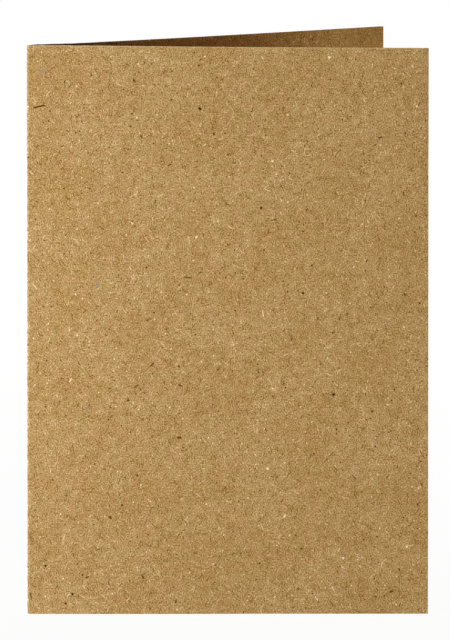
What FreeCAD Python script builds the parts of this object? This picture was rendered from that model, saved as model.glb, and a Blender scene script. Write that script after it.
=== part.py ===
"""A blank folded greeting card of kraft board, standing a little open on its lower edges.

The card is one sheet, scored and folded once, so it is one solid. Its section, seen from
above, is a flat front leaf along +X, a round fold, and a rear leaf that swings away to +Y
and bows softly back towards the front leaf. The section is raised past the card's height,
a scored bead stands up inside the fold, and the top is trimmed a little out of square, as
both leaves were cut in one stroke.

Units are millimetres and degrees. +Z is up along the fold. The origin is the foot of the
fold, in the middle of the board's thickness.
"""

import FreeCAD, Part
import math
import os

import Sketcher
from FreeCAD import Vector

NODE = "folded_card"
SHEET = "Dimensions"

# Driving dimensions: name, value, meaning
DIMENSIONS = [
    ("leaf_width", 105.0, "front leaf, from the outside of the fold to its free edge"),
    ("card_height", 150.0, "top of the trimmed card above its foot, at the fold"),
    ("board_thickness", 0.36, "kraft board of about 290 grams a square metre"),
    ("fold_inner_radius", 0.30, "inside of the fold"),
    ("opening_angle", 26.75, "between the front leaf and the chord of the rear leaf"),
    ("rear_bow", 1.3, "how far the rear leaf's middle lies off its chord"),
    ("trim_fall", 0.60, "drop of the top edge from the fold to the free edge"),
]

# Ends of a line or an arc, as the sketcher numbers them
START = 1
END = 2
CENTRE = 3

# The sketch's own axes and origin, as the sketcher numbers them
AXES = -1


def cell(name):
    """The expression that reads one driving dimension."""
    return f"{SHEET}.{name}"


# Sizes that follow from the driving dimensions, as expressions. The rear leaf is as long as
# the front one, and its radius is that of an arc whose middle lies rear_bow off its chord.
BISECTOR_ANGLE = f"({cell('opening_angle')} / 2 * 1 deg)"
HALF_THICKNESS = f"({cell('board_thickness')} / 2)"
FOLD_OUTER_RADIUS = f"({cell('fold_inner_radius')} + {cell('board_thickness')})"
FOLD_MIDDLE_RADIUS = f"({cell('fold_inner_radius')} + {HALF_THICKNESS})"
FLAT_LENGTH = f"({cell('leaf_width')} - {FOLD_OUTER_RADIUS})"
REAR_RADIUS = f"({FLAT_LENGTH} ^ 2 / (8 * {cell('rear_bow')}))"
REAR_HALF_TURN = f"(4 * {cell('rear_bow')} / {FLAT_LENGTH} * 1 rad)"
REAR_CHORD = f"(2 * {REAR_RADIUS} * sin({REAR_HALF_TURN}))"
REAR_CENTRE_DIRECTION = f"(({cell('opening_angle')} + 90) * 1 deg - {REAR_HALF_TURN})"
BEAD_RADIUS = HALF_THICKNESS
TRIM_REACH = f"({cell('leaf_width')} + {FOLD_OUTER_RADIUS})"
TRIM_DROP = f"({cell('trim_fall')} * {TRIM_REACH} / {cell('leaf_width')})"
RAW_HEIGHT = f"({cell('card_height')} + {TRIM_DROP} + {FOLD_OUTER_RADIUS})"


def fill_sheet(doc):
    """Write the driving dimensions into the document's spreadsheet."""
    sheet = doc.addObject("Spreadsheet::Sheet", SHEET)
    for row, (name, value, meaning) in enumerate(DIMENSIONS, start=1):
        sheet.set(f"A{row}", name)
        sheet.set(f"B{row}", str(value))
        sheet.set(f"C{row}", meaning)
        sheet.setAlias(f"B{row}", name)
    doc.recompute()
    return sheet


def new_sketch(body, name, plane_role):
    """A sketch on one of the body's own origin planes."""
    plane = next(f for f in body.Origin.OriginFeatures if f.Role == plane_role)
    sketch = body.newObject("Sketcher::SketchObject", name)
    sketch.AttachmentSupport = [(plane, "")]
    sketch.MapMode = "FlatFace"
    return sketch


def join(sketch, kind, *where):
    """Add a constraint that has no value of its own."""
    sketch.addConstraint(Sketcher.Constraint(kind, *where))


def drive(sketch, name, expression, kind, *where):
    """Add a constraint with a starting value, name it and bind it to an expression."""
    index = sketch.addConstraint(Sketcher.Constraint(kind, *where))
    sketch.renameConstraint(index, name)
    sketch.setExpression(f"Constraints.{name}", expression)


def polar(centre, radius, angle):
    """The point at a radius and an angle, in radians, from a centre in the sketch plane."""
    return centre + Vector(radius * math.cos(angle), radius * math.sin(angle), 0)


def arc(centre, radius, first, last):
    """A counterclockwise arc between two angles, in radians."""
    return Part.ArcOfCircle(Part.Circle(centre, Vector(0, 0, 1), radius), first, last)


def draw_section(body, sheet):
    """The sheet's section: front leaf, fold and rear leaf, one board thickness all along."""
    thickness = sheet.board_thickness
    inner = sheet.fold_inner_radius
    outer = inner + thickness
    middle = inner + thickness / 2
    flat = sheet.leaf_width - outer
    rear_radius = flat ** 2 / (8 * sheet.rear_bow)
    half_turn = 4 * sheet.rear_bow / flat
    opening = math.radians(sheet.opening_angle)
    rear_normal = opening + math.pi / 2 - half_turn
    front_normal = 1.5 * math.pi

    fold_centre = polar(Vector(), middle, opening / 2)
    rear_centre = polar(fold_centre, outer + rear_radius, rear_normal)
    rear_first = rear_normal + math.pi
    rear_last = rear_first + 2 * half_turn
    front_outer_start = polar(fold_centre, outer, front_normal)
    front_inner_end = polar(fold_centre, inner, front_normal)
    front_outer_end = front_outer_start + Vector(flat, 0, 0)
    front_inner_start = front_inner_end + Vector(flat, 0, 0)
    rear_outer_end = polar(rear_centre, rear_radius, rear_last)
    rear_inner_end = polar(rear_centre, rear_radius + thickness, rear_last)

    sketch = new_sketch(body, "Section", "XY_Plane")
    line = Part.LineSegment
    front_outer = sketch.addGeometry(line(front_outer_start, front_outer_end))
    front_edge = sketch.addGeometry(line(front_outer_end, front_inner_start))
    front_inner = sketch.addGeometry(line(front_inner_start, front_inner_end))
    fold_inner = sketch.addGeometry(arc(fold_centre, inner, rear_normal, front_normal))
    rear_inner = sketch.addGeometry(
        arc(rear_centre, rear_radius + thickness, rear_first, rear_last))
    rear_edge = sketch.addGeometry(line(rear_inner_end, rear_outer_end))
    rear_outer = sketch.addGeometry(arc(rear_centre, rear_radius, rear_first, rear_last))
    fold_outer = sketch.addGeometry(arc(fold_centre, outer, rear_normal, front_normal))
    bisector = sketch.addGeometry(line(Vector(), fold_centre), True)
    rear_spoke = sketch.addGeometry(line(fold_centre, rear_centre), True)

    # The fold, centred so that the origin is in the middle of the board
    join(sketch, "Coincident", bisector, START, AXES, START)
    join(sketch, "Coincident", bisector, END, fold_inner, CENTRE)
    join(sketch, "Coincident", fold_outer, CENTRE, fold_inner, CENTRE)
    drive(sketch, "bisector_angle", BISECTOR_ANGLE, "Angle", bisector, opening / 2)
    drive(sketch, "bisector_length", FOLD_MIDDLE_RADIUS, "Distance", bisector, middle)
    drive(sketch, "fold_inner_radius", cell("fold_inner_radius"), "Radius", fold_inner, inner)
    drive(sketch, "fold_outer_radius", FOLD_OUTER_RADIUS, "Radius", fold_outer, outer)

    # The front leaf, flat and square at its free edge
    join(sketch, "Horizontal", front_outer)
    join(sketch, "Vertical", front_edge)
    join(sketch, "Horizontal", front_inner)
    join(sketch, "Tangent", fold_outer, END, front_outer, START)
    join(sketch, "Coincident", front_outer, END, front_edge, START)
    join(sketch, "Coincident", front_edge, END, front_inner, START)
    join(sketch, "Tangent", front_inner, END, fold_inner, END)
    drive(sketch, "front_flat_length", FLAT_LENGTH,
          "DistanceX", front_outer, START, front_outer, END, flat)

    # The rear leaf, an arc that leaves the fold smoothly and is as long as the front one
    join(sketch, "Coincident", rear_spoke, START, fold_inner, CENTRE)
    join(sketch, "Coincident", rear_spoke, END, rear_outer, CENTRE)
    join(sketch, "Coincident", rear_inner, CENTRE, rear_outer, CENTRE)
    join(sketch, "Tangent", fold_outer, START, rear_outer, START)
    join(sketch, "Tangent", fold_inner, START, rear_inner, START)
    join(sketch, "Coincident", rear_inner, END, rear_edge, START)
    join(sketch, "Coincident", rear_edge, END, rear_outer, END)
    join(sketch, "PointOnObject", rear_outer, CENTRE, rear_edge)
    drive(sketch, "rear_radius", REAR_RADIUS, "Radius", rear_outer, rear_radius)
    drive(sketch, "rear_direction", REAR_CENTRE_DIRECTION, "Angle", rear_spoke, rear_normal)
    drive(sketch, "rear_chord", REAR_CHORD, "Distance",
          rear_outer, START, rear_outer, END, 2 * rear_radius * math.sin(half_turn))
    return sketch


def draw_bead(body, sheet):
    """The round bead that the score raises inside the fold, centred on its inner face."""
    opening = math.radians(sheet.opening_angle)
    radius = sheet.board_thickness / 2
    apex = polar(Vector(), radius, opening / 2)

    sketch = new_sketch(body, "BeadSection", "XY_Plane")
    bead = sketch.addGeometry(Part.Circle(apex, Vector(0, 0, 1), radius))
    bisector = sketch.addGeometry(Part.LineSegment(Vector(), apex), True)
    join(sketch, "Coincident", bisector, START, AXES, START)
    join(sketch, "Coincident", bisector, END, bead, CENTRE)
    drive(sketch, "bisector_angle", BISECTOR_ANGLE, "Angle", bisector, opening / 2)
    drive(sketch, "apex_distance", HALF_THICKNESS, "Distance", bisector, radius)
    drive(sketch, "bead_radius", BEAD_RADIUS, "Radius", bead, radius)
    return sketch


def draw_trim(body, sheet):
    """The board that the trim takes off: all above a line that falls away from the fold.

    The line is at the card's height over the origin, and its outline reaches as far to
    each side as a leaf can, and past the raw top, so that the whole top is cut.
    """
    outer = sheet.fold_inner_radius + sheet.board_thickness
    reach = sheet.leaf_width + outer
    drop = sheet.trim_fall * reach / sheet.leaf_width
    high = sheet.card_height + drop + 2 * outer
    corners = [
        Vector(-reach, sheet.card_height + drop, 0),
        Vector(reach, sheet.card_height - drop, 0),
        Vector(reach, high, 0),
        Vector(-reach, high, 0),
    ]

    sketch = new_sketch(body, "TrimOutline", "XZ_Plane")
    sides = [
        sketch.addGeometry(Part.LineSegment(start, end))
        for start, end in zip(corners, corners[1:] + corners[:1])
    ]
    cut, right_side, top_side, left_side = sides
    for side, following in zip(sides, sides[1:] + sides[:1]):
        join(sketch, "Coincident", side, END, following, START)
    join(sketch, "Vertical", right_side)
    join(sketch, "Horizontal", top_side)
    join(sketch, "Vertical", left_side)
    drive(sketch, "left_reach", TRIM_REACH, "DistanceX", cut, START, AXES, START, reach)
    drive(sketch, "right_reach", TRIM_REACH, "DistanceX", AXES, START, cut, END, reach)
    drive(sketch, "left_height", f"{cell('card_height')} + {TRIM_DROP}",
          "DistanceY", AXES, START, cut, START, corners[0].y)
    drive(sketch, "right_height", f"{cell('card_height')} - {TRIM_DROP}",
          "DistanceY", AXES, START, cut, END, corners[1].y)
    drive(sketch, "top_height", f"{RAW_HEIGHT} + {FOLD_OUTER_RADIUS}",
          "DistanceY", AXES, START, top_side, START, high)
    return sketch


def raise_section(body, name, sketch):
    """Raise a section from the foot to the raw top, which the trim then cuts."""
    pad = body.newObject("PartDesign::Pad", name)
    pad.Profile = sketch
    pad.setExpression("Length", RAW_HEIGHT)
    return pad


def build_card(doc, sheet):
    """The whole card: the folded sheet, its scored bead and its trimmed top."""
    body = doc.addObject("PartDesign::Body", NODE)
    body.Label = NODE
    leaves = raise_section(body, "Leaves", draw_section(body, sheet))
    doc.recompute()
    bead = raise_section(body, "ScoredBead", draw_bead(body, sheet))
    doc.recompute()
    trim = body.newObject("PartDesign::Pocket", "TrimmedTop")
    trim.Profile = draw_trim(body, sheet)
    trim.Type = "ThroughAll"
    trim.SideType = "Symmetric"
    body.Tip = trim
    body.Placement = FreeCAD.Placement()
    doc.recompute()

    if bead.Shape.Volume <= leaves.Shape.Volume:
        raise RuntimeError("the scored bead adds no board")
    if trim.Shape.Volume >= bead.Shape.Volume:
        raise RuntimeError("the trim takes no board off")
    return body


def check(doc, body):
    """Stop if an object failed, or if the card isn't one valid solid."""
    for item in doc.Objects:
        if "Invalid" in item.State or "Error" in item.State:
            raise RuntimeError(f"{item.Label} failed: {item.State}")
    shape = body.Shape
    if shape.isNull() or not shape.isValid() or len(shape.Solids) != 1:
        raise RuntimeError(f"{body.Label} is not one valid solid")


def main():
    """Build the card, check it and write its shape."""
    doc = FreeCAD.newDocument("greeting_card")
    sheet = fill_sheet(doc)
    card = build_card(doc, sheet)
    check(doc, card)
    os.makedirs("parts", exist_ok=True)
    card.Shape.exportStep(f"parts/{card.Label}.step")
    box = card.Shape.BoundBox
    print(f"{card.Label}: {box.XLength:.2f} x {box.YLength:.2f} x {box.ZLength:.2f} mm,"
          f" {card.Shape.Volume:.1f} cubic mm")


main()
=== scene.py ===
"""The looks of a blank folded greeting card of brown kraft board, standing a little open.

The card is one sheet, so it is one piece here too: a slab of board is cut flat, given its
maps while it is flat, and then folded, bowed and cockled into the CAD node's place.
Lengths are metres, apart from those of the board's finish, its map and its flecks, which
are millimetres.
"""

import logging
import math
from dataclasses import dataclass, field
from enum import Enum

import bmesh
import bpy
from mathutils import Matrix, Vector, noise


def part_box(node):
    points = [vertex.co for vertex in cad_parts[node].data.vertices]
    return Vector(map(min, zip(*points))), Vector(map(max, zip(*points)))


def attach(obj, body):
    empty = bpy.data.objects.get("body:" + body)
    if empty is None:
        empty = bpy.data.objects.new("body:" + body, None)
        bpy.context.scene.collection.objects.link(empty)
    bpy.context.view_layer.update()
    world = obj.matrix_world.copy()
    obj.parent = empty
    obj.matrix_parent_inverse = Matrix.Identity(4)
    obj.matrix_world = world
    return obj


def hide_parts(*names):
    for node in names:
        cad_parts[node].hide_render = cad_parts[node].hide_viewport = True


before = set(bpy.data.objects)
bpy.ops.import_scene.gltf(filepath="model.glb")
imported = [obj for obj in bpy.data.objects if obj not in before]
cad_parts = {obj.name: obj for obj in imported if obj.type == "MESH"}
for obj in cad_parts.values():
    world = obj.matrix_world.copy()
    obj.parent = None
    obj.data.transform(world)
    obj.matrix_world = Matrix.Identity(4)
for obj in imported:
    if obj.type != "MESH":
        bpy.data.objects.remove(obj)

LOG = logging.getLogger("greeting_card")
MM = 0.001
CARD_NODE = "folded_card"

# What the sheet's mesh carries for its material and for the bake
SHEET_MAP = "SheetMillimetres"
BAKE_MAP = "OFBake"
CUT_MARK = "cut_edge"
TOP_DEPTH = "depth_below_top"
FLECK_PLACE = "fleck_place"
FLECK_FORM = "fleck_form"
FLECK_TONE = "fleck_tone"

# Blender's noise seldom passes this value on either side of zero
NOISE_PEAK = 0.5


class Side(Enum):
    """The side of the sheet that a face belongs to."""

    OUTER = "outer"
    INNER = "inner"
    CUT = "cut"


class Tone(Enum):
    """The kinds of mark in the board, each with its linear colour."""

    SHIVE = (0.045, 0.008, 0.001)
    BARK = (0.120, 0.050, 0.001)
    PALE = (0.900, 0.760, 0.480)
    BLUE = (0.290, 0.280, 0.210)


@dataclass(frozen=True)
class CardSize:
    """The card's sizes, as the CAD source has them, in metres and radians."""

    leaf_width: float
    height: float
    thickness: float = 0.36 * MM
    fold_inner_radius: float = 0.30 * MM
    opening: float = math.radians(26.75)
    rear_bow: float = 1.3 * MM
    trim_fall: float = 0.60 * MM

    @property
    def middle_radius(self) -> float:
        """The fold's radius at the middle of the board."""
        return self.fold_inner_radius + self.thickness / 2

    @property
    def leaf_length(self) -> float:
        """A leaf's length from where the fold's bend ends to its free edge."""
        return self.leaf_width - self.fold_inner_radius - self.thickness

    @property
    def rear_radius(self) -> float:
        """The radius of the rear leaf's outer face."""
        return self.leaf_length ** 2 / (8 * self.rear_bow)

    @property
    def rear_half_turn(self) -> float:
        """Half of the angle that the bowed rear leaf turns through."""
        return 4 * self.rear_bow / self.leaf_length

    @property
    def rear_start(self) -> float:
        """The rear leaf's direction where it leaves the fold."""
        return self.opening - self.rear_half_turn

    @property
    def half_bend(self) -> float:
        """Half of the fold's bend, along the middle of the board."""
        return self.middle_radius * (math.pi - self.rear_start) / 2

    @property
    def half_sheet(self) -> float:
        """The flat sheet's length from the middle of the fold to a free edge."""
        return self.half_bend + self.leaf_length


@dataclass(frozen=True)
class Fleck:
    """One mark that stands out on the front of the board, in millimetres and degrees.

    It is placed from the fold's outside and the card's foot. A round fleck has no length.
    Its strength is how far it covers the pulp under it.
    """

    right: float
    up: float
    width: float
    length: float = 0.0
    lean: float = 0.0
    tone: Tone = Tone.SHIVE
    strength: float = 1.0

    def distance(self, right: float, up: float) -> float:
        """How far a point lies from the mark's middle line.

        Args:
            right: The point's place from the fold's outside.
            up: Its height above the card's foot.

        Returns:
            The distance in millimetres.
        """
        lean = math.radians(self.lean)
        way = Vector((math.cos(lean), math.sin(lean)))
        offset = Vector((right - self.right, up - self.up))
        along = max(-self.length / 2, min(self.length / 2, offset.dot(way)))
        return (offset - way * along).length


# The front's larger marks, where the photo shows them: dark ones, then pale, then greyish
FLECKS = (
    Fleck(80.4, 57.9, 0.88),
    Fleck(4.9, 12.6, 0.74),
    Fleck(12.0, 5.1, 0.76),
    Fleck(10.2, 2.6, 0.62),
    Fleck(21.5, 6.4, 0.43, tone=Tone.BARK),
    Fleck(39.9, 65.3, 0.66, tone=Tone.BARK),
    Fleck(50.2, 64.5, 0.30, 0.5, 30, Tone.BARK),
    Fleck(51.6, 64.4, 0.46, tone=Tone.BARK),
    Fleck(56.7, 88.5, 0.46, tone=Tone.BARK),
    Fleck(59.5, 88.3, 0.40, tone=Tone.BARK),
    Fleck(58.4, 72.8, 0.43, tone=Tone.BARK),
    Fleck(81.8, 64.9, 0.45, tone=Tone.BARK),
    Fleck(95.6, 56.3, 0.57, tone=Tone.BARK),
    Fleck(90.5, 53.4, 0.70, tone=Tone.BARK),
    Fleck(91.5, 4.4, 0.46),
    Fleck(45.4, 133.3, 0.67, 0.3, -47),
    Fleck(26.6, 56.4, 0.76, tone=Tone.BARK),
    Fleck(72.4, 84.7, 0.62, 0.2, -13),
    Fleck(49.1, 126.7, 0.68, 0.2, 90, Tone.BARK),
    Fleck(25.0, 28.7, 0.67, tone=Tone.BARK),
    Fleck(99.1, 126.8, 0.53, tone=Tone.BARK),
    Fleck(80.2, 74.2, 0.58, tone=Tone.BARK),
    Fleck(29.0, 36.5, 0.64, tone=Tone.BARK),
    Fleck(76.3, 78.0, 0.36, 0.5, 90, Tone.BARK),
    Fleck(61.4, 107.2, 0.64, 0.4, 70, Tone.BARK),
    Fleck(95.6, 5.7, 0.54, 0.7, 20, Tone.BARK),
    Fleck(3.4, 133.9, 0.52, 2.7, 13, Tone.BARK),
    Fleck(42.3, 88.8, 0.34, 1.8, -7, Tone.BARK),
    Fleck(32.8, 65.8, 0.34, 1.3, 43, Tone.BARK),
    Fleck(15.9, 9.6, 0.38, 0.8, 27, Tone.BARK),
    Fleck(1.1, 4.6, 0.32, 1.6, -87, Tone.BARK),
    Fleck(1.7, 147.2, 0.26, 0.7, 64, Tone.BARK),
    Fleck(40.3, 60.3, 0.50, 0.8, -29, Tone.BARK),
    Fleck(92.6, 125.7, 0.44, 0.8, 17, Tone.BARK),
    Fleck(21.9, 25.4, 0.70, 0.4, -46, Tone.BARK),
    Fleck(52.9, 121.3, 0.29, 0.8, 21, Tone.BARK),
    Fleck(28.3, 140.7, 0.42, 0.8, -60, Tone.BARK),
    Fleck(30.1, 126.0, 0.41, 0.7, -55, Tone.BARK),
    Fleck(37.5, 118.5, 0.38, 0.9, 32, Tone.BARK),
    Fleck(39.1, 3.1, 0.43, 0.7, 83, Tone.BARK),
    Fleck(19.7, 101.9, 0.25, 1.4, -37, Tone.BARK),
    Fleck(40.0, 46.5, 0.66, 0.5, -14, Tone.BARK),
    Fleck(30.4, 9.7, 0.60, 0.9, -67, Tone.BARK, 0.9),
    Fleck(28.8, 60.2, 0.42, 1.0, 32, Tone.BARK, 0.85),
    Fleck(10.1, 140.5, 0.34, 0.6, 70, Tone.BARK),
    Fleck(25.6, 122.9, 0.42, tone=Tone.BARK),
    Fleck(26.7, 122.6, 0.50, tone=Tone.BARK),
    Fleck(14.0, 127.4, 0.50, tone=Tone.BARK),
    Fleck(32.7, 145.1, 0.50, tone=Tone.BARK),
    Fleck(20.6, 113.1, 0.46, tone=Tone.BARK),
    Fleck(79.2, 146.8, 0.82, tone=Tone.PALE),
    Fleck(84.6, 146.6, 0.34, tone=Tone.PALE),
    Fleck(102.1, 133.9, 0.58, tone=Tone.PALE),
    Fleck(99.6, 17.6, 0.68, tone=Tone.PALE),
    Fleck(83.0, 14.6, 0.68, tone=Tone.PALE),
    Fleck(85.1, 7.3, 0.48, tone=Tone.PALE),
    Fleck(63.1, 38.3, 0.76, tone=Tone.PALE),
    Fleck(64.4, 119.5, 0.64, tone=Tone.PALE),
    Fleck(44.5, 99.5, 0.50, 0.3, 37, Tone.PALE),
    Fleck(67.6, 25.7, 0.40, 0.7, 59, Tone.PALE),
    Fleck(11.5, 61.7, 0.34, 0.9, 62, Tone.PALE),
    Fleck(61.9, 79.4, 0.24, 1.5, -83, Tone.PALE),
    Fleck(2.2, 86.5, 0.20, 1.4, -48, Tone.PALE),
    Fleck(10.8, 4.8, 0.22, 0.8, 45, Tone.PALE),
    Fleck(4.1, 148.2, 0.45, tone=Tone.PALE),
    Fleck(10.5, 148.4, 0.40, tone=Tone.PALE),
    Fleck(4.2, 143.2, 1.00, 0.6, 30, Tone.BLUE, 0.7),
    Fleck(18.6, 86.9, 0.80, 0.4, 90, Tone.BLUE),
    Fleck(15.9, 53.9, 0.75, 0.4, 20, Tone.BLUE, 0.6),
)


@dataclass
class FoldedSheet:
    """The card's one sheet: cut flat, mapped, then folded into place.

    Flat coordinates are (along, up, out): along the sheet from the middle of the fold,
    positive on the front leaf; up the card; and out from the middle of the board,
    positive on the face that ends up outside.

    Its sizes are, in order, those of the mesh's columns and rows, with how squarely a
    face looks out where it isn't the cut; of the rounded cut edges; of the bead that the
    score raises inside the fold; of the leaves' cockle and the front leaf's crown; of the
    fray of the fold and of the cut edges, whose depth is in edge radii; and of the top
    edge's swell beside the fold.
    """

    size: CardSize
    bend_columns: int = 16
    leaf_step: float = 1.35 * MM
    step_growth: float = 1.4
    row_step: float = 0.75 * MM
    squarely: float = 0.95
    edge_radius: float = 0.035 * MM
    edge_segments: int = 2
    bead_height: float = 0.17 * MM
    bead_half_width: float = 0.22 * MM
    cockle_height: float = 0.16 * MM
    cockle_length: float = 46 * MM
    front_bow: float = 0.18 * MM
    fold_fray: float = 0.15 * MM
    fold_fray_length: float = 1.7 * MM
    edge_fray: float = 0.035 * MM
    edge_fray_length: float = 1.1 * MM
    edge_fray_depth: float = 1.5
    top_swell: float = 0.25 * MM
    swell_rise: float = 3.2 * MM
    front_swell_reach: float = 65 * MM
    rear_swell_reach: float = 13.6 * MM
    mesh: bmesh.types.BMesh = field(default_factory=bmesh.new)

    def build(self) -> bpy.types.Object:
        """Make the finished card.

        Returns:
            The card's object, at the origin, with its place in its mesh.
        """
        self.cut_flat()
        self.round_cut_edges()
        self.lay_maps()
        self.mark_flecks()
        self.fray_edges()
        self.fold()
        data = bpy.data.meshes.new("card_sheet")
        self.mesh.to_mesh(data)
        self.mesh.free()
        sheet = bpy.data.objects.new("card_sheet", data)
        bpy.context.scene.collection.objects.link(sheet)
        return sheet

    def column_places(self) -> list[float]:
        """Where the sheet's columns lie: close together in the fold, wider on the leaves.

        Returns:
            Distances along the flat sheet, from the rear free edge to the front one.
        """
        half_columns = self.bend_columns // 2
        step = self.size.half_bend / half_columns
        places = [step * index for index in range(half_columns + 1)]
        while places[-1] < self.size.half_sheet:
            step = min(step * self.step_growth, self.leaf_step)
            places.append(places[-1] + step)
        stretch = self.size.leaf_length / (places[-1] - self.size.half_bend)
        bend = self.size.half_bend
        places = [p if p <= bend else bend + (p - bend) * stretch for p in places]
        return [-p for p in reversed(places[1:])] + places

    def cut_flat(self) -> None:
        """Cut the sheet: a flat slab of board with its top edge trimmed out of square."""
        places = self.column_places()
        columns = len(places) - 1
        rows = round(self.size.height / self.row_step)
        bmesh.ops.create_grid(self.mesh, x_segments=columns, y_segments=rows, size=1.0)
        inner = -self.size.thickness / 2
        for vert in self.mesh.verts:
            along = places[round((vert.co.x + 1) / 2 * columns)]
            up = (vert.co.y + 1) / 2 * self.top_at(along)
            vert.co = Vector((along, up, inner))
        raised = bmesh.ops.extrude_face_region(self.mesh, geom=self.mesh.faces[:])
        verts = [item for item in raised["geom"] if isinstance(item, bmesh.types.BMVert)]
        bmesh.ops.translate(self.mesh, vec=(0, 0, self.size.thickness), verts=verts)
        bmesh.ops.recalc_face_normals(self.mesh, faces=self.mesh.faces[:])

    def top_at(self, along: float) -> float:
        """The height of the trimmed top edge at a place along the sheet."""
        fall = self.size.trim_fall * abs(along) / self.size.leaf_width
        return self.size.height - fall + self.swell_at(along)

    def swell_at(self, along: float) -> float:
        """How far the top edge stands above its straight line beside the fold.

        Args:
            along: The place along the sheet.

        Returns:
            The swell's height, which rises beside the fold and then fades along the leaf.
        """
        reach = self.front_swell_reach if along > 0 else self.rear_swell_reach
        rise = min(1.0, abs(along) / self.swell_rise)
        return self.top_swell * rise * max(0.0, 1 - abs(along) / reach)

    def side_of(self, face: bmesh.types.BMFace) -> Side:
        """The side of the sheet that a face of the flat slab belongs to.

        Args:
            face: The face, whose normal is up to date.

        Returns:
            The outer or the inner side where it faces that way squarely, else the cut.
        """
        if face.normal.z > self.squarely:
            return Side.OUTER
        if face.normal.z < -self.squarely:
            return Side.INNER
        return Side.CUT

    def round_cut_edges(self) -> None:
        """Round the cut edges a little, with a sharp border against the board's two faces."""
        self.mesh.normal_update()
        edges = [e for e in self.mesh.edges if len({self.side_of(f) for f in e.link_faces}) > 1]
        bmesh.ops.bevel(
            self.mesh,
            geom=edges,
            offset=self.edge_radius,
            segments=self.edge_segments,
            profile=0.5,
            affect="EDGES",
            material=-1,
        )
        self.mesh.normal_update()
        for face in self.mesh.faces:
            face.smooth = True
        for edge in self.mesh.edges:
            edge.smooth = len({self.side_of(f) for f in edge.link_faces}) == 1

    def lay_maps(self) -> None:
        """Give the flat slab its two maps, its cut-edge mark and its depth below the top."""
        sheet_map = self.mesh.loops.layers.uv.new(SHEET_MAP)
        bake_map = self.mesh.loops.layers.uv.new(BAKE_MAP)
        cut_mark = self.mesh.faces.layers.float.new(CUT_MARK)
        top_depth = self.mesh.verts.layers.float.new(TOP_DEPTH)
        for vert in self.mesh.verts:
            vert[top_depth] = (self.top_at(vert.co.x) - vert.co.y) / MM
        layout = BakeLayout(self.size)
        for face in self.mesh.faces:
            side = self.side_of(face)
            face[cut_mark] = 1.0 if side is Side.CUT else 0.0
            middle = face.calc_center_median()
            for loop in face.loops:
                place = loop.vert.co
                loop[sheet_map].uv = layout.pattern_place(side, place)
                loop[bake_map].uv = layout.bake_place(side, place, middle)

    def mark_flecks(self) -> None:
        """Write each fleck's place, form and tone on the front leaf's faces that it crosses."""
        places = self.mesh.faces.layers.float_vector.new(FLECK_PLACE)
        forms = self.mesh.faces.layers.float_vector.new(FLECK_FORM)
        tones = self.mesh.faces.layers.float_vector.new(FLECK_TONE)
        outer_radius = self.size.fold_inner_radius + self.size.thickness
        fold_outside = (self.size.half_bend - outer_radius) / MM
        reach = math.hypot(self.leaf_step, self.row_step) / MM
        for face in self.mesh.faces:
            along, up, _ = face.calc_center_median() / MM
            if self.side_of(face) is not Side.OUTER or along < 0:
                continue
            right = along - fold_outside
            near = [mark for mark in FLECKS if abs(up - mark.up) < reach + mark.length / 2]
            fleck = min(near, key=lambda mark: mark.distance(right, up), default=None)
            if fleck is None or fleck.distance(right, up) > reach:
                continue
            face[places] = (fleck.right + fold_outside, fleck.up, math.radians(fleck.lean))
            face[forms] = (fleck.length / 2, fleck.width / 2, fleck.strength)
            face[tones] = fleck.tone.value

    def fray_edges(self) -> None:
        """Make the free cut edges a little uneven, as the knife leaves a fibrous board."""
        reach = self.edge_radius * self.edge_fray_depth
        for vert in self.mesh.verts:
            along, up, out = vert.co
            seed = Vector((along, up, out)) / self.edge_fray_length
            shift = noise.noise(seed) * self.edge_fray
            if abs(along) > self.size.half_sheet - reach:
                vert.co.x += math.copysign(shift, along)
            if up > self.top_at(along) - reach:
                vert.co.y += shift

    def fold(self) -> None:
        """Fold the flat slab into the card."""
        for vert in self.mesh.verts:
            vert.co = self.folded(*vert.co)
        self.mesh.normal_update()

    def folded(self, along: float, up: float, out: float) -> Vector:
        """Where a point of the flat slab lies on the folded card.

        Args:
            along: Its place along the sheet.
            up: Its height.
            out: Its distance from the middle of the board.

        Returns:
            The point in the card's frame.
        """
        size = self.size
        centre = self.turned(size.opening / 2) * size.middle_radius
        out += self.relief(along, up, out)
        beyond = abs(along) - size.half_bend
        if beyond <= 0:
            angle = math.pi + size.rear_start / 2 + along / size.middle_radius
            point = centre + self.turned(angle) * (size.middle_radius + out)
        elif along > 0:
            point = centre + Vector((beyond, -size.middle_radius - out, 0))
        else:
            normal = size.rear_start + math.pi / 2
            outer = size.fold_inner_radius + size.thickness
            bow_centre = centre + self.turned(normal) * (outer + size.rear_radius)
            swing = normal + math.pi + beyond / size.rear_radius
            radius = size.rear_radius + size.thickness / 2 - out
            point = bow_centre + self.turned(swing) * radius
        return point + Vector((0, 0, up))

    def relief(self, along: float, up: float, out: float) -> float:
        """How far the sheet stands out of its plain section at a place.

        It holds the leaves' soft cockle, the front leaf's slight crown, the frayed
        outside of the fold and the bead that the score raises inside it.

        Args:
            along: The place along the sheet.
            up: Its height.
            out: Its distance from the middle of the board.

        Returns:
            The distance to add to the point's own, outwards.
        """
        size = self.size
        away = min(1.0, max(0.0, (abs(along) - size.half_bend) / self.cockle_length))
        wave = Vector((along, up, 0)) / self.cockle_length
        lift = self.cockle_height / NOISE_PEAK * away * noise.noise(wave)
        if along > 0:
            share = max(0.0, along - size.half_bend) / size.leaf_length
            crown = 4 * share * (1 - share)
            lift += self.front_bow * crown
        if out > 0:
            near = math.exp(-(along / size.half_bend) ** 2)
            tuft = Vector((along / MM, up / self.fold_fray_length, 0))
            lift += self.fold_fray * near * noise.noise(tuft)
        elif abs(along) < self.bead_half_width:
            lift -= self.bead_height * math.cos(along / self.bead_half_width * math.pi / 2)
        return lift

    @staticmethod
    def turned(angle: float) -> Vector:
        """A unit vector at an angle from +X, level with the ground."""
        return Vector((math.cos(angle), math.sin(angle), 0))


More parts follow.
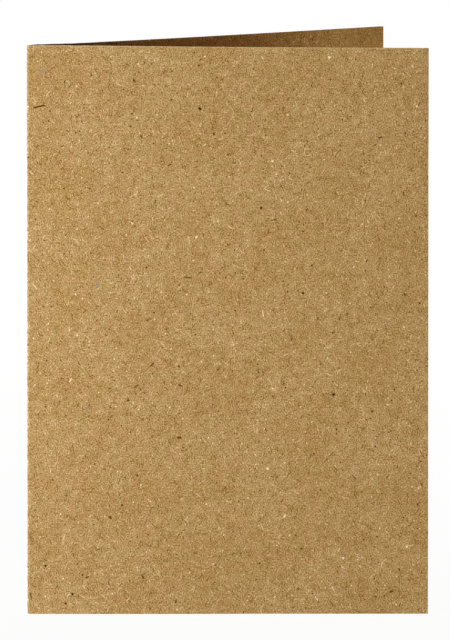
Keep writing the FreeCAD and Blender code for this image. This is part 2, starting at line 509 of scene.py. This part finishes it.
@dataclass(frozen=True)
class BakeLayout:
    """Where the parts of the flat sheet lie in its two maps.

    The pattern map is in millimetres, and its inner side lies apart from its outer side,
    so that the two sides of the board don't share their fibres. The bake map fills one
    square: the outer side in its lower half, the inner side in its upper half, and the
    thin cut edges in strips round them.
    """

    size: CardSize
    inner_offset_mm: float = 400.0
    margin: float = 0.012
    strip: float = 0.003

    def pattern_place(self, side: Side, place: Vector) -> tuple[float, float]:
        """The pattern map's coordinates of a point of the flat sheet.

        Args:
            side: The side of the sheet that its face belongs to.
            place: The point.

        Returns:
            The two coordinates, in millimetres. On a cut edge the outer side's run on.
        """
        along, up, out = place / MM
        if side is Side.INNER:
            return along, up + self.inner_offset_mm
        return along + math.copysign(out, along), up - out

    def bake_place(self, side: Side, place: Vector, middle: Vector) -> tuple[float, float]:
        """The bake map's coordinates of a corner of a face.

        Args:
            side: The side of the sheet that the face belongs to.
            place: The corner, on the flat sheet.
            middle: The face's middle, which picks the strip of a cut edge.

        Returns:
            The two coordinates, from 0 to 1.
        """
        across = 0.5 + place.x / self.size.half_sheet * (0.5 - self.margin)
        share = place.y / self.size.height
        half = 0.5 - 2 * self.margin
        if side is Side.OUTER:
            return across, self.margin + share * half
        if side is Side.INNER:
            return across, 0.5 + self.margin + share * half
        depth = (place.z / self.size.thickness + 0.5) * self.strip
        at_top = middle.y > self.size.height / 2
        to_side = self.size.half_sheet - abs(middle.x)
        to_end = min(middle.y, abs(self.size.height - self.size.trim_fall - middle.y))
        if to_side < to_end and to_side < self.size.thickness:
            base = self.strip if middle.x < 0 else 1 - 2 * self.strip
            return base + depth, self.margin + share * half
        return across, (0.5 if at_top else self.strip) + depth


@dataclass(frozen=True)
class FibreLayer:
    """One layer of loose fibres, one to a cell, with sizes in millimetres.

    The curl is how widely the fibres' bends differ, the contrast how far the strongest
    ones change the pulp's level, and a higher rarity leaves more of them faint.
    """

    spacing: float
    length: float
    width: float
    curl: float
    contrast: float
    rarity: float


@dataclass(frozen=True)
class Cloud:
    """One soft noise in the board: its size and shift in millimetres, and its finer detail.

    The shift keeps it apart from the other noises. Where it mixes two tints, it makes no
    more difference beyond its limit, on either side of zero.
    """

    size: float
    shift: tuple[float, float]
    detail: float
    roughness: float
    limit: float = 1.0


@dataclass(frozen=True)
class PaleEdgeBand:
    """How far a pale strip runs along an edge of the board, in millimetres from that edge.

    Along the fold it is partly rubbed, frayed fibre and partly a painted highlight; along
    the top edge it is a painted highlight. It is full as far as one distance and gone from
    the other. The raggedness moves both back and forth, and the share is how pale it gets.
    """

    full: float
    none: float
    raggedness: float
    share: float


@dataclass(frozen=True)
class KraftFinish:
    """The finish of uncoated kraft board. Colours are linear, sizes are millimetres.

    The tones run from the darkest pulp to the palest, in even steps for the eye. Small
    patches lean to pink or to olive, and broad ones are warmer or more faded. The inner
    side's tint, a little darker and redder, is painted shade for the card's shaded inside.
    """

    tones: tuple[tuple[float, float, float], ...] = (
        (0.065, 0.010, 0.001),
        (0.253, 0.121, 0.011),
        (0.454, 0.279, 0.107),
        (0.637, 0.443, 0.228),
        (0.888, 0.718, 0.462),
    )
    pink: tuple[float, float, float] = (1.010, 0.984, 1.005)
    olive: tuple[float, float, float] = (0.992, 1.012, 0.985)
    warm: tuple[float, float, float] = (0.968, 0.952, 0.915)
    faded: tuple[float, float, float] = (1.032, 1.048, 1.085)
    # Painted shade: the inner side's slightly darker, redder tint stands in for the card's
    # shaded inside
    inner: tuple[float, float, float] = (1.000, 0.980, 0.985)
    outer: tuple[float, float, float] = (1.000, 1.000, 1.000)
    # The pale colour of the fold's rubbed fibre and of the painted highlights along the fold
    # and the top edge
    fray_and_highlight: tuple[float, float, float] = (0.900, 0.760, 0.480)
    # The cut edges' colour, paler than the pulp and partly a painted highlight for the top
    # edge, which the low lights hardly reach
    cut: tuple[float, float, float] = (0.640, 0.460, 0.240)
    cut_share: float = 0.7
    # Pale strip on the fold's outside: partly rubbed fibre, partly a painted highlight where
    # the rounded fold catches the side light
    fold_fray_and_highlight: PaleEdgeBand = PaleEdgeBand(0.15, 0.50, 0.3, 0.50)
    # Painted highlight along the top edge of the outer face
    top_edge_highlight: PaleEdgeBand = PaleEdgeBand(0.08, 0.30, 0.08, 0.30)
    ragged: Cloud = Cloud(0.8, (3, 11), 1.0, 0.7)
    tint: Cloud = Cloud(4.0, (31, 7), 1.0, 0.6, 0.4)
    patch: Cloud = Cloud(14.0, (43, 19), 3.0, 0.6, 0.5)
    mottle: Cloud = Cloud(2.3, (5, 61), 1.0, 0.6)
    mottle_contrast: float = 0.062
    grain: Cloud = Cloud(0.29, (17, 3), 1.0, 0.8)
    grain_stretch: float = 1.40
    grain_contrast: float = 0.285
    middle_level: float = 0.5
    fibre_turn: float = 2.5
    roughness: float = 0.88
    specular: float = 0.06
    tooth_height: float = 0.005
    layers: tuple[FibreLayer, ...] = (
        FibreLayer(1.90, 1.50, 0.20, 2.0, 0.33, 3),
        FibreLayer(1.15, 0.85, 0.19, 2.8, 0.34, 3),
        FibreLayer(0.80, 0.45, 0.19, 3.2, 0.36, 3),
        FibreLayer(2.30, 0.12, 0.34, 0.0, 1.10, 9),
        FibreLayer(4.70, 0.80, 0.22, 2.0, 0.65, 5),
    )


class NodeGraph:
    """Adds nodes to a tree and links them, so that a finish reads from top to bottom."""

    def __init__(self, tree: bpy.types.NodeTree) -> None:
        """Work on a node tree."""
        self.tree = tree

    def add(self, kind: str, **settings: object) -> bpy.types.Node:
        """Add a node and set its properties.

        Args:
            kind: Blender's name for the kind of node.
            settings: Its properties by name.

        Returns:
            The node.
        """
        node = self.tree.nodes.new(kind)
        for name, value in settings.items():
            setattr(node, name, value)
        return node

    def feed(self, socket: bpy.types.NodeSocket, value: object) -> None:
        """Link a socket to another, or set its value.

        Args:
            socket: The input socket.
            value: The output socket that feeds it, or a plain value.
        """
        if isinstance(value, bpy.types.NodeSocket):
            self.tree.links.new(value, socket)
        else:
            socket.default_value = value

    def math(self, operation: str, *values: object) -> bpy.types.NodeSocket:
        """Do one sum with a Math node.

        Args:
            operation: The node's operation.
            values: Its inputs, each a socket or a number.

        Returns:
            The result's socket.
        """
        node = self.add("ShaderNodeMath", operation=operation)
        for socket, value in zip(node.inputs, values):
            self.feed(socket, value)
        return node.outputs[0]

    def vector(self, operation: str, *values: object) -> bpy.types.NodeSocket:
        """Do one sum with a Vector Math node.

        Args:
            operation: The node's operation.
            values: Its inputs, each a socket or three numbers.

        Returns:
            The result's socket: a number for a length, else a vector.
        """
        node = self.add("ShaderNodeVectorMath", operation=operation)
        for socket, value in zip(node.inputs, values):
            self.feed(socket, value)
        return node.outputs["Value" if operation == "LENGTH" else "Vector"]

    def ramp(self, value: object, low: float, high: float, start: float = 0.0,
             end: float = 1.0) -> bpy.types.NodeSocket:
        """Step smoothly from one value to another as the input goes from low to high.

        Args:
            value: The input.
            low: Where the step begins.
            high: Where it ends.
            start: The result up to the step.
            end: The result past it.

        Returns:
            The result's socket.
        """
        node = self.add("ShaderNodeMapRange", interpolation_type="SMOOTHSTEP")
        for name, entry in zip(("Value", "From Min", "From Max", "To Min", "To Max"),
                               (value, low, high, start, end)):
            self.feed(node.inputs[name], entry)
        return node.outputs["Result"]

    def blend(self, share: object, first: object, second: object) -> bpy.types.NodeSocket:
        """Mix two colours.

        Args:
            share: How much of the second one there is, from 0 to 1.
            first: A colour or its socket.
            second: The other colour or its socket.

        Returns:
            The mixed colour's socket.
        """
        node = self.add("ShaderNodeMix", data_type="RGBA", clamp_factor=True)
        for name, entry in (("Factor_Float", share), ("A_Color", first), ("B_Color", second)):
            socket = next(s for s in node.inputs if s.identifier == name)
            if isinstance(entry, tuple):
                entry = (*entry, 1.0)
            self.feed(socket, entry)
        return next(s for s in node.outputs if s.identifier == "Result_Color")

    def noise(self, place: object, cloud: Cloud) -> bpy.types.NodeSocket:
        """Add a soft noise.

        Args:
            place: Where the noise is read, in millimetres.
            cloud: Its size and detail.

        Returns:
            The noise's socket, from about -1 to 1.
        """
        node = self.add("ShaderNodeTexNoise", noise_dimensions="2D", normalize=False)
        self.feed(node.inputs["Vector"], place)
        node.inputs["Scale"].default_value = 1 / cloud.size
        node.inputs["Detail"].default_value = cloud.detail
        node.inputs["Roughness"].default_value = cloud.roughness
        return node.outputs[0]

    def split(self, vector: object) -> list[bpy.types.NodeSocket]:
        """Take a vector apart.

        Args:
            vector: The vector's socket.

        Returns:
            The sockets of its three numbers.
        """
        node = self.add("ShaderNodeSeparateXYZ")
        self.feed(node.inputs[0], vector)
        return list(node.outputs)

    def attribute(self, name: str, output: str) -> bpy.types.NodeSocket:
        """What the mesh carries under a name, from the output of that kind."""
        return self.add("ShaderNodeAttribute", attribute_name=name).outputs[output]


class StrokeGroup:
    """The node group of one capsule-shaped stroke, which fibres and flecks share.

    A stroke is solid out to one share of its half width and gone at the other.
    """

    SOLID = 0.50
    GONE = 1.25

    def __init__(self) -> None:
        """Make the group."""
        tree = bpy.data.node_groups.new("fibre_stroke", "ShaderNodeTree")
        face = tree.interface
        face.new_socket("Offset", in_out="INPUT", socket_type="NodeSocketVector")
        for name in ("Lean", "Half Length", "Half Width", "Curl"):
            face.new_socket(name, in_out="INPUT", socket_type="NodeSocketFloat")
        face.new_socket("Mask", in_out="OUTPUT", socket_type="NodeSocketFloat")
        graph = NodeGraph(tree)
        given = graph.add("NodeGroupInput").outputs
        turn = graph.add("ShaderNodeVectorRotate", rotation_type="Z_AXIS", invert=True)
        graph.feed(turn.inputs["Vector"], given["Offset"])
        graph.feed(turn.inputs["Angle"], given["Lean"])
        length_way, width_way, _ = graph.split(turn.outputs[0])
        bend = graph.math("MULTIPLY", graph.math("MULTIPLY", length_way, length_way),
                          given["Curl"])
        across = graph.math("ADD", width_way, bend)
        past = graph.math("MAXIMUM", graph.math(
            "SUBTRACT", graph.math("ABSOLUTE", length_way), given["Half Length"]), 0.0)
        reach = graph.math("SQRT", graph.math(
            "ADD", graph.math("MULTIPLY", past, past), graph.math("MULTIPLY", across, across)))
        soft = graph.math("DIVIDE", reach, given["Half Width"])
        out = graph.add("NodeGroupOutput")
        graph.feed(out.inputs["Mask"], graph.ramp(soft, self.SOLID, self.GONE, 1.0, 0.0))
        self.tree = tree

    def stroke(self, graph: NodeGraph, offset: object, lean: object, half_length: object,
               half_width: object, curl: object) -> bpy.types.NodeSocket:
        """The mask of one stroke.

        Args:
            graph: The graph to add it to.
            offset: The shaded point, from the stroke's middle.
            lean: The stroke's angle from the card's width, in radians.
            half_length: Half the length of its straight part.
            half_width: Half its width.
            curl: How strongly it bends away from straight.

        Returns:
            1 on the stroke and 0 off it.
        """
        node = graph.add("ShaderNodeGroup", node_tree=self.tree)
        for name, value in (("Offset", offset), ("Lean", lean), ("Half Length", half_length),
                            ("Half Width", half_width), ("Curl", curl)):
            graph.feed(node.inputs[name], value)
        return node.outputs["Mask"]


@dataclass
class KraftBoard:
    """The kraft board's material: mottled pulp, loose fibres, flecks, and pale edges, partly
    rubbed and partly painted highlight.

    Each layer of fibres is moved on from the one before it by the layer shift.
    """

    finish: KraftFinish = field(default_factory=KraftFinish)
    layer_shift: tuple[float, float] = (13.7, 29.3)
    graph: NodeGraph = field(init=False)
    strokes: StrokeGroup = field(init=False)
    place: bpy.types.NodeSocket = field(init=False)
    from_fold: bpy.types.NodeSocket = field(init=False)
    outside: bpy.types.NodeSocket = field(init=False)
    grain: bpy.types.NodeSocket = field(init=False)

    def build(self) -> bpy.types.Material:
        """Make the material.

        Returns:
            The material, which reads the sheet's own map in millimetres.
        """
        material = bpy.data.materials.new("kraft_board")
        material.use_nodes = True
        material.node_tree.nodes.clear()
        self.graph = NodeGraph(material.node_tree)
        self.strokes = StrokeGroup()
        self.place = self.graph.add("ShaderNodeUVMap", uv_map=SHEET_MAP).outputs[0]
        along, up, _ = self.graph.split(self.place)
        self.from_fold = self.graph.math("ABSOLUTE", along)
        self.outside = self.graph.math("LESS_THAN", up, BakeLayout.inner_offset_mm / 2)
        colour = self.flecks(self.pulp())
        self.shade(self.pale_edges(colour))
        return material

    def moved(self, right: float, up: float) -> bpy.types.NodeSocket:
        """The map moved by some millimetres, so that one layer doesn't repeat another."""
        return self.graph.vector("ADD", self.place, (right, up, 0.0))

    def pulp(self) -> bpy.types.NodeSocket:
        """Make the pulp: mottle, grain and loose fibres, in tints that lie slightly apart.

        Returns:
            The colour's socket.
        """
        graph, finish = self.graph, self.finish
        mottle = graph.noise(self.moved(*finish.mottle.shift), finish.mottle)
        stretch = (1.0, 1 / finish.grain_stretch, 1.0)
        upright = graph.vector("MULTIPLY", self.moved(*finish.grain.shift), stretch)
        self.grain = graph.noise(upright, finish.grain)
        level = graph.math("MULTIPLY_ADD", mottle, finish.mottle_contrast, finish.middle_level)
        level = graph.math("MULTIPLY_ADD", self.grain, finish.grain_contrast, level)
        for index, layer in enumerate(finish.layers, start=1):
            level = graph.math("ADD", level, self.fibre_level(layer, index))
        colour = self.toned(level)
        for tint in (
            graph.blend(self.patches(finish.tint), finish.olive, finish.pink),
            graph.blend(self.patches(finish.patch), finish.warm, finish.faded),
            # Painted shade: the inner side's darker, redder tint
            graph.blend(self.outside, finish.inner, finish.outer),
        ):
            colour = graph.vector("MULTIPLY", colour, tint)
        return colour

    def toned(self, level: bpy.types.NodeSocket) -> bpy.types.NodeSocket:
        """Turn the pulp's level into a colour through the finish's tones.

        Args:
            level: From 0 for the darkest pulp to 1 for the palest.

        Returns:
            The colour's socket.
        """
        node = self.graph.add("ShaderNodeValToRGB")
        self.graph.feed(node.inputs[0], level)
        stops = node.color_ramp.elements
        steps = len(self.finish.tones) - 1
        while len(stops) <= steps:
            stops.new(0.5)
        for index, tone in enumerate(self.finish.tones):
            stops[index].position = index / steps
            stops[index].color = (*tone, 1.0)
        return node.outputs["Color"]

    def patches(self, cloud: Cloud) -> bpy.types.NodeSocket:
        """Patches of one tint among another: a share from 0 to 1."""
        noise_level = self.graph.noise(self.moved(*cloud.shift), cloud)
        return self.graph.ramp(noise_level, -cloud.limit, cloud.limit)

    def fibre_level(self, layer: FibreLayer, index: int) -> bpy.types.NodeSocket:
        """How much a layer of loose fibres lightens or darkens the pulp.

        Args:
            layer: The layer's sizes.
            index: Its number, which moves its cells away from the other layers'.

        Returns:
            The layer's part of the pulp's level: 0 between fibres, above it on a pale
            fibre and below it on a dark one. Most fibres are faint and a few are strong.
        """
        graph = self.graph
        shift_right, shift_up = self.layer_shift
        place = graph.vector("SCALE", self.moved(shift_right * index, shift_up * index))
        place.node.inputs["Scale"].default_value = 1 / layer.spacing
        cells = graph.add("ShaderNodeTexVoronoi", voronoi_dimensions="2D")
        graph.feed(cells.inputs["Vector"], place)
        cells.inputs["Scale"].default_value = 1.0
        turn_chance, size_chance, tone_chance = graph.split(cells.outputs["Color"])
        offset = graph.vector("SUBTRACT", place, cells.outputs["Position"])
        lean = graph.math("MULTIPLY_ADD", turn_chance, self.finish.fibre_turn,
                          (math.pi - self.finish.fibre_turn) / 2)
        half = layer.length / layer.spacing / 2
        half_length = graph.math("MULTIPLY", graph.math("ADD", size_chance, 0.5), half)
        curl = graph.math("MULTIPLY", graph.math("SUBTRACT", size_chance, 0.5), layer.curl)
        mask = self.strokes.stroke(
            graph, offset, lean, half_length, layer.width / layer.spacing / 2, curl)
        tone = graph.math("MULTIPLY_ADD", tone_chance, 2.0, -1.0)
        rare = graph.math("POWER", tone, layer.rarity)
        return graph.math("MULTIPLY", mask, graph.math("MULTIPLY", rare, layer.contrast))

    def flecks(self, colour: bpy.types.NodeSocket) -> bpy.types.NodeSocket:
        """Lay the front's own marks over the pulp, from what the faces carry about them.

        Args:
            colour: The pulp's colour.

        Returns:
            The colour with the marks.
        """
        graph = self.graph
        where = graph.attribute(FLECK_PLACE, "Vector")
        lean = graph.split(where)[2]
        half_length, half_width, strength = graph.split(graph.attribute(FLECK_FORM, "Vector"))
        middle = graph.vector("MULTIPLY", where, (1.0, 1.0, 0.0))
        offset = graph.vector("SUBTRACT", self.place, middle)
        mask = self.strokes.stroke(graph, offset, lean, half_length, half_width, 0.0)
        tone = graph.attribute(FLECK_TONE, "Color")
        return graph.blend(graph.math("MULTIPLY", mask, strength), colour, tone)

    def pale_edges(self, colour: bpy.types.NodeSocket) -> bpy.types.NodeSocket:
        """Paint the pale edges: rubbed fibre and painted highlight on the fold's outside, a
        painted highlight along the top edge, and cut edges paler, partly as painted highlight.

        Args:
            colour: The colour of the pulp and its marks.

        Returns:
            The colour with its pale edges and painted highlights.
        """
        graph, finish = self.graph, self.finish
        # Rubbed fibre and painted highlight along the fold's outside
        fold = self.fray_and_highlight(finish.fold_fray_and_highlight, self.from_fold)
        # Painted highlight along the top edge
        top_highlight = self.fray_and_highlight(finish.top_edge_highlight, graph.attribute(TOP_DEPTH, "Fac"))
        pale_share = graph.math("MAXIMUM", fold, top_highlight)
        colour = graph.blend(graph.math("MULTIPLY", pale_share, self.outside), colour, finish.fray_and_highlight)
        # Cut edges paler, partly as a painted highlight
        cut = graph.math("MULTIPLY", graph.attribute(CUT_MARK, "Fac"), finish.cut_share)
        return graph.blend(cut, colour, finish.cut)

    def fray_and_highlight(self, edge_band: PaleEdgeBand, distance: bpy.types.NodeSocket) -> bpy.types.NodeSocket:
        """How far the pale strip along one edge goes.

        Args:
            edge_band: The pale strip.
            distance: The distance from that edge.

        Returns:
            The share of the pale colour, with a ragged border.
        """
        cloud = self.finish.ragged
        ragged = self.graph.noise(self.moved(*cloud.shift), cloud)
        border = self.graph.math("MULTIPLY_ADD", ragged, edge_band.raggedness, distance)
        return self.graph.ramp(border, edge_band.full, edge_band.none, edge_band.share, 0.0)

    def shade(self, colour: bpy.types.NodeSocket) -> None:
        """Finish the shader: a rough, dry surface with the tooth of uncoated board.

        Args:
            colour: The board's colour.
        """
        graph, finish = self.graph, self.finish
        shader = graph.add("ShaderNodeBsdfPrincipled")
        graph.feed(shader.inputs["Base Color"], colour)
        shader.inputs["Roughness"].default_value = finish.roughness
        shader.inputs["Specular IOR Level"].default_value = finish.specular
        bump = graph.add("ShaderNodeBump")
        graph.feed(bump.inputs["Height"], self.grain)
        bump.inputs["Strength"].default_value = 1.0
        bump.inputs["Distance"].default_value = finish.tooth_height * MM
        graph.feed(shader.inputs["Normal"], bump.outputs[0])
        out = graph.add("ShaderNodeOutputMaterial")
        graph.feed(out.inputs["Surface"], shader.outputs[0])


@dataclass(frozen=True)
class SoftLight:
    """One soft light of the studio, in metres and watts."""

    name: str
    place: tuple[float, float, float]
    width: float
    height: float
    power: float
    colour: tuple[float, float, float] = (1.0, 1.0, 1.0)


@dataclass
class Studio:
    """The plain studio: a white floor, low soft lights, and the photograph's camera.

    The floor's colour is what it throws back onto the card. What is seen of it is white,
    apart from the share that takes the card's shadow.
    """

    target: Vector
    floor_half: float = 30.0
    floor_colour: tuple[float, float, float] = (0.50, 0.50, 0.50)
    floor_shadow: float = 0.04
    floor_fade: tuple[float, float] = (0.30, 1.00)
    ambient: float = 0.035
    camera_distance: float = 5.0
    camera_azimuth: float = math.radians(-0.23)
    camera_elevation: float = math.radians(7.74)
    camera_lens: float = 1074.7
    camera_clip: tuple[float, float] = (0.1, 100.0)
    camera_aim: tuple[float, float, float] = (51.60 * MM, 0.0, 77.68 * MM)
    lights: tuple[SoftLight, ...] = (
        SoftLight("key", (-0.36, -0.28, 0.075), 0.32, 0.15, 2.95, (0.975, 0.985, 1.00)),
        SoftLight("front_fill", (0.72, -0.55, 0.085), 0.50, 0.20, 2.80, (1.00, 0.96, 0.68)),
        SoftLight("inside_fill", (0.67, 0.45, 0.10), 0.40, 0.20, 7.0, (1.00, 0.91, 0.80)),
        SoftLight("back_fill", (-0.10, 0.90, 0.20), 0.60, 0.40, 6.0),
    )

    def build(self) -> None:
        """Set up the floor, the lights, the world, the camera and a plain view of colours."""
        self.lay_floor()
        for light in self.lights:
            self.hang(light)
        self.fill_world()
        self.place_camera()
        bpy.context.scene.view_settings.view_transform = "Standard"

    def seen_share(self, graph: NodeGraph) -> bpy.types.NodeSocket:
        """Tell what is seen from what only gives light.

        Args:
            graph: The graph of the floor or the sky.

        Returns:
            1 for what the camera, a reflection or clear glass sees directly, else 0.
        """
        path = graph.add("ShaderNodeLightPath").outputs
        seen = graph.math("MAXIMUM", path["Is Camera Ray"], path["Is Glossy Ray"])
        return graph.math("MAXIMUM", seen, path["Is Transmission Ray"])

    def lay_floor(self) -> None:
        """Lay a large flat floor that looks white and still takes the card's shadow.

        What the camera sees of it is mostly a glow. The rest is matt, and darkens in the
        shadow. Further away, where the lights don't reach, the glow alone is white.
        """
        mesh = bmesh.new()
        bmesh.ops.create_grid(mesh, x_segments=1, y_segments=1, size=self.floor_half)
        data = bpy.data.meshes.new("floor")
        mesh.to_mesh(data)
        mesh.free()
        floor = bpy.data.objects.new("floor", data)
        bpy.context.scene.collection.objects.link(floor)
        material = bpy.data.materials.new("white_floor")
        material.use_nodes = True
        material.node_tree.nodes.clear()
        graph = NodeGraph(material.node_tree)
        seen = self.seen_share(graph)
        matt = graph.add("ShaderNodeBsdfDiffuse")
        graph.feed(matt.inputs["Color"],
                   graph.blend(seen, self.floor_colour, (self.floor_shadow,) * 3))
        away = graph.vector("LENGTH", graph.add("ShaderNodeTexCoord").outputs["Object"])
        level = graph.ramp(away, *self.floor_fade, 1 - self.floor_shadow, 1.0)
        glow = graph.add("ShaderNodeEmission")
        graph.feed(glow.inputs["Strength"], graph.math("MULTIPLY", seen, level))
        both = graph.add("ShaderNodeAddShader")
        graph.feed(both.inputs[0], matt.outputs[0])
        graph.feed(both.inputs[1], glow.outputs[0])
        out = graph.add("ShaderNodeOutputMaterial")
        graph.feed(out.inputs["Surface"], both.outputs[0])
        data.materials.append(material)

    def hang(self, light: SoftLight) -> None:
        """Hang one soft light, turned to the card.

        Args:
            light: The light's place, size, power and colour.
        """
        data = bpy.data.lights.new(light.name, "AREA")
        data.shape = "RECTANGLE"
        data.size = light.width
        data.size_y = light.height
        data.energy = light.power
        data.color = light.colour
        lamp = bpy.data.objects.new(light.name, data)
        lamp.location = light.place
        towards = self.target - Vector(light.place)
        lamp.rotation_euler = towards.to_track_quat("-Z", "Y").to_euler()
        bpy.context.scene.collection.objects.link(lamp)

    def fill_world(self) -> None:
        """A dim even sky for the light, which itself looks white."""
        world = bpy.data.worlds.new("studio")
        world.use_nodes = True
        bpy.context.scene.world = world
        graph = NodeGraph(world.node_tree)
        sky = next(n for n in world.node_tree.nodes if n.type == "BACKGROUND")
        sky.inputs["Color"].default_value = (1.0, 1.0, 1.0, 1.0)
        graph.feed(sky.inputs["Strength"],
                   graph.ramp(self.seen_share(graph), 0.0, 1.0, self.ambient, 1.0))

    def place_camera(self) -> None:
        """Put the camera where the photograph was taken: far off, a little above."""
        data = bpy.data.cameras.new("camera")
        data.lens = self.camera_lens
        data.clip_start, data.clip_end = self.camera_clip
        camera = bpy.data.objects.new("camera", data)
        level = math.cos(self.camera_elevation)
        back = Vector((math.sin(self.camera_azimuth) * level,
                       -math.cos(self.camera_azimuth) * level,
                       math.sin(self.camera_elevation)))
        camera.location = Vector(self.camera_aim) + back * self.camera_distance
        camera.rotation_euler = (-back).to_track_quat("-Z", "Y").to_euler()
        bpy.context.scene.collection.objects.link(camera)
        bpy.context.scene.camera = camera


def main() -> None:
    """Build the card and the studio round it."""
    logging.basicConfig(level=logging.INFO, format="%(name)s: %(message)s")
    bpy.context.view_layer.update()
    low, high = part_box(CARD_NODE)
    size = CardSize(leaf_width=high.x - low.x, height=high.z - low.z)
    sheet = FoldedSheet(size).build()
    sheet.data.materials.append(KraftBoard().build())
    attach(sheet, "root")
    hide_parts(CARD_NODE)
    LOG.info("card_sheet: %d faces", len(sheet.data.polygons))
    Studio(target=(low + high) / 2).build()
    LOG.info("studio: floor, lights, world and camera")


if __name__ == "__main__":
    main()
